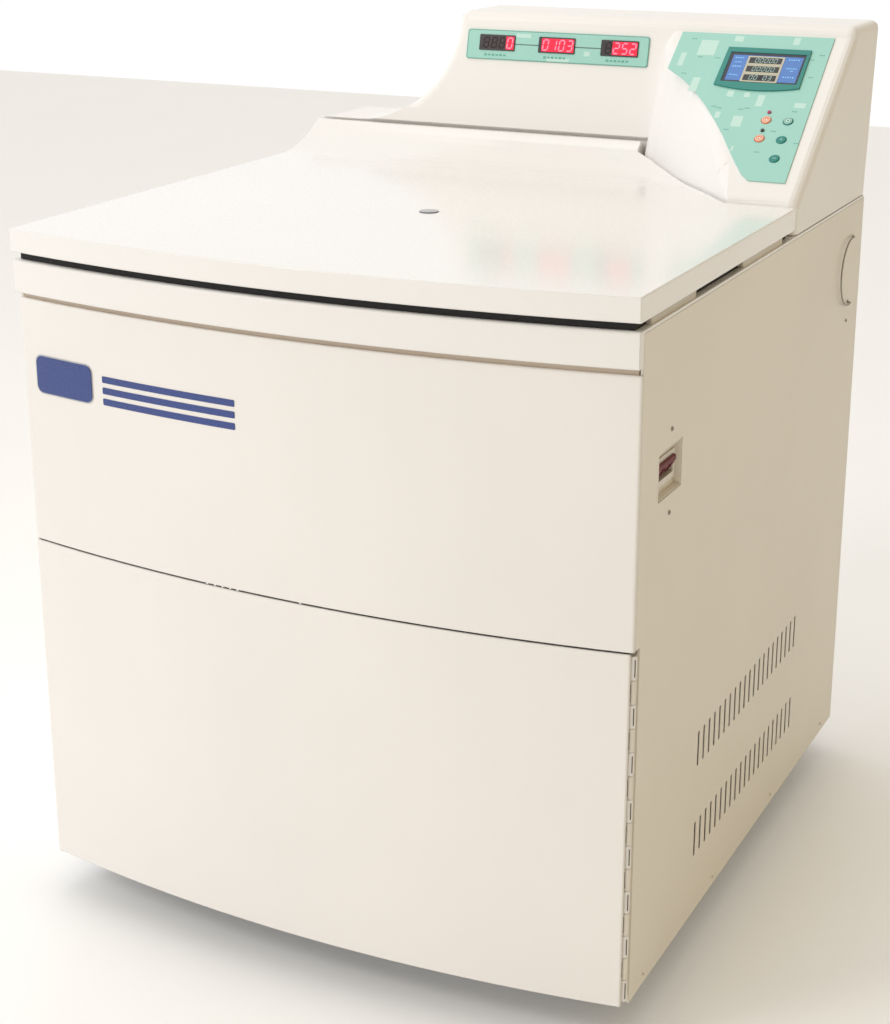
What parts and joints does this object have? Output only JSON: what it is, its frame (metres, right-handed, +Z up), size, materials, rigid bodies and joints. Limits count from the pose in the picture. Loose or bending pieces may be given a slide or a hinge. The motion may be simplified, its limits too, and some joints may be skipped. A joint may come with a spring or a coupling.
{
  "type": "floor-standing laboratory centrifuge",
  "caption": "Floor-standing laboratory centrifuge: bowed steel cabinet, hinged lid over a rotor chamber, sloping keypad wing and digital display strip.",
  "frame": {"origin": "centre of the footprint, at floor level", "axes": "+Z up, +X to the operator's right, +Y to the back; the lid's front edge faces -Y"},
  "size_m": [0.705, 0.8148, 0.955],
  "materials": {
    "cream_coat": "powder coat, fine orange peel",
    "lid_white": "gloss moulding",
    "console_plastic": "satin moulding",
    "steel": "zinc plated",
    "stainless": "spun stainless",
    "aluminium": "satin anodised",
    "cast_iron": "black enamel",
    "copper": "drawn copper tube",
    "black_rubber": "moulded rubber",
    "black_plastic": "satin",
    "smoked_glass": "smoked",
    "mint_film": "printed polyester film",
    "teal_plastic": "satin",
    "orange_plastic": "satin",
    "lcd_blue": "clear cover over a blue display",
    "red_plastic": "gloss",
    "board_green": "solder mask"
  },
  "bodies": {
    "cabinet": {"base_frame": "steel", "levelling_foot_left": "steel", "levelling_foot_right": "steel", "castor_fork_left": "steel", "castor_fork_right": "steel", "side_panel_left": "cream_coat", "side_panel_right": "cream_coat", "rear_panel": "cream_coat", "front_upper_panel": "cream_coat", "top_deck": "cream_coat", "door_hinge_fixed": "steel", "lid_hinge_pillar_left": "steel", "lid_hinge_pillar_right": "steel", "lid_gasket": "black_rubber", "chamber_seal": "black_rubber", "latch_body": "black_plastic", "console_housing": "console_plastic", "control_membrane": "mint_film", "lcd_bezel": "teal_plastic", "lcd_screen": "lcd_blue", "indicator_1": "red_plastic", "indicator_2": "black_plastic", "led_strip": "mint_film", "control_board": "board_green", "breaker_recess": "cream_coat", "breaker_body": "console_plastic", "cord_hook": "black_plastic", "chamber_floor": "steel", "chamber_bowl": "stainless", "armour_ring": "steel", "evaporator_coil": "copper", "drive_motor": "cast_iron", "compressor": "cast_iron", "condenser": "aluminium", "fan_shroud": "black_plastic", "inverter_box": "aluminium", "mains_gland": "black_plastic"},
    "door": {"front_door": "cream_coat", "door_hinge_leaf": "steel"},
    "lid": {"lid_shell": "lid_white", "lid_liner": "stainless", "sight_port": "smoked_glass", "lid_hinge_arm_left": "steel", "lid_hinge_arm_right": "steel", "lid_striker": "steel"},
    "latch": {"latch_hook": "steel"},
    "toggle": {"breaker_toggle": "red_plastic"},
    "rotor": {"rotor_body": "aluminium", "spindle": "steel"},
    "cover": {"rotor_cover": "aluminium"},
    "knob": {"rotor_knob": "black_plastic"},
    "fan_wheel": {"fan": "black_plastic"},
    "wheel_left": {"castor_wheel_left": "black_rubber"},
    "wheel_right": {"castor_wheel_right": "black_rubber"},
    "key_body_1": {"key_1": "orange_plastic"},
    "key_body_2": {"key_2": "orange_plastic"},
    "key_body_3": {"key_3": "teal_plastic"},
    "key_body_4": {"key_4": "teal_plastic"},
    "key_body_5": {"key_5": "teal_plastic"}
  },
  "joints": [
    {"name": "lid_hinge", "type": "hinge", "parent": "cabinet", "child": "lid", "pos_m": [-0.00175, 0.26525, 0.80209], "axis": [-1, 0, 0], "range_deg": [0, 55]},
    {"name": "latch_turn", "type": "hinge", "parent": "cabinet", "child": "latch", "pos_m": [-0.00175, -0.36275, 0.69], "axis": [-1, 0, 0], "range_deg": [0, 35], "stiffness_Nm_per_rad": 0.1},
    {"name": "door_hinge", "type": "hinge", "parent": "cabinet", "child": "door", "pos_m": [0.34475, -0.35675, 0.24], "axis": [0, 0, 1], "range_deg": [0, 100]},
    {"name": "toggle_turn", "type": "hinge", "parent": "cabinet", "child": "toggle", "pos_m": [0.33445, -0.28385, 0.592], "axis": [0, 1, 0], "range_deg": [0, 35]},
    {"name": "rotor_spin", "type": "hinge", "parent": "cabinet", "child": "rotor", "pos_m": [-0.00175, -0.10075, 0.55], "axis": [0, 0, 1], "continuous": true},
    {"name": "cover_lift", "type": "slide", "parent": "rotor", "child": "cover", "axis": [0, 0, 1], "range_m": [0, 0.05]},
    {"name": "knob_turn", "type": "hinge", "parent": "cover", "child": "knob", "pos_m": [-0.00175, -0.10075, 0.68], "axis": [0, 0, 1], "continuous": true},
    {"name": "fan_spin", "type": "hinge", "parent": "cabinet", "child": "fan_wheel", "pos_m": [0.04825, 0.30925, 0.255], "axis": [0, 1, 0], "continuous": true},
    {"name": "wheel_left_roll", "type": "hinge", "parent": "cabinet", "child": "wheel_left", "pos_m": [-0.25175, 0.27925, 0.0375], "axis": [1, 0, 0], "continuous": true},
    {"name": "wheel_right_roll", "type": "hinge", "parent": "cabinet", "child": "wheel_right", "pos_m": [0.24825, 0.27925, 0.0375], "axis": [1, 0, 0], "continuous": true},
    {"name": "key_1_press", "type": "slide", "parent": "cabinet", "child": "key_body_1", "axis": [0, 0.6157, -0.788], "range_m": [0, 0.0008], "stiffness_N_per_m": 400},
    {"name": "key_2_press", "type": "slide", "parent": "cabinet", "child": "key_body_2", "axis": [0, 0.6157, -0.788], "range_m": [0, 0.0008], "stiffness_N_per_m": 400},
    {"name": "key_3_press", "type": "slide", "parent": "cabinet", "child": "key_body_3", "axis": [0, 0.6157, -0.788], "range_m": [0, 0.0008], "stiffness_N_per_m": 400},
    {"name": "key_4_press", "type": "slide", "parent": "cabinet", "child": "key_body_4", "axis": [0, 0.6157, -0.788], "range_m": [0, 0.0008], "stiffness_N_per_m": 400},
    {"name": "key_5_press", "type": "slide", "parent": "cabinet", "child": "key_body_5", "axis": [0, 0.6157, -0.788], "range_m": [0, 0.0008], "stiffness_N_per_m": 400}
  ]
}
